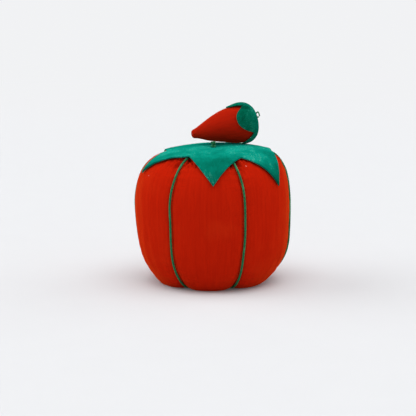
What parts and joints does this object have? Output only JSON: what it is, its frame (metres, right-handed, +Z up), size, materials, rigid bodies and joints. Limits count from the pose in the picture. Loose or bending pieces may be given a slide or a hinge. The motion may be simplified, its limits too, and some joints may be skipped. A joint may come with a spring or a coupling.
{
  "type": "pin cushion",
  "caption": "Tomato pin cushion: red cotton wound into lobes with green cord, a felt leaf cap, and a strawberry emery tethered to its top.",
  "frame": {"origin": "middle of the base, on the surface that the cushion stands on", "axes": "+Z up through the middle of the cushion; -Y is the side that the strawberry lies behind, with its tip towards -X"},
  "size_m": [0.0697, 0.0698, 0.0816],
  "materials": {
    "red_cotton": "matte",
    "green_felt": "matte",
    "dark_green_felt": "matte",
    "green_cord": "satin",
    "green_thread": "satin",
    "red_thread": "satin",
    "sawdust": "matte",
    "emery_grit": "matte"
  },
  "bodies": {
    "cushion": {"cushion_cover": "red_cotton", "cushion_stuffing": "sawdust", "top_gathering_thread": "red_thread", "base_gathering_thread": "red_thread", "cord_wrap_1": "green_cord", "cord_wrap_2": "green_cord", "cord_wrap_3": "green_cord", "cord_wrap_4": "green_cord", "cord_wrap_5": "green_cord", "cord_wrap_6": "green_cord", "base_knot": "green_cord", "leaf_cap": "green_felt", "top_knot": "green_cord"},
    "tether": {"tether_eye": "green_thread"},
    "tether_end": {"tether_cord": "green_thread", "tether_knot": "green_thread"},
    "strawberry": {"berry_cover": "red_cotton", "berry_emery": "emery_grit", "berry_gathering_thread": "red_thread", "berry_leaf_cap": "dark_green_felt", "berry_stitch": "red_thread"}
  },
  "joints": [
    {"name": "tether_swing", "type": "hinge", "parent": "cushion", "child": "tether", "pos_m": [0, 0, 0.0611], "axis": [0, 0, 1], "range_deg": [-180, 180]},
    {"name": "tether_lift", "type": "slide", "parent": "tether", "child": "tether_end", "axis": [0, 0, 1], "range_m": [0, 0.035], "deforming": ["tether_cord"]},
    {"name": "strawberry_tilt", "type": "hinge", "parent": "tether_end", "child": "strawberry", "pos_m": [0.02022, 0.008, 0.07335], "axis": [0, 1, 0], "range_deg": [0, 100]}
  ]
}
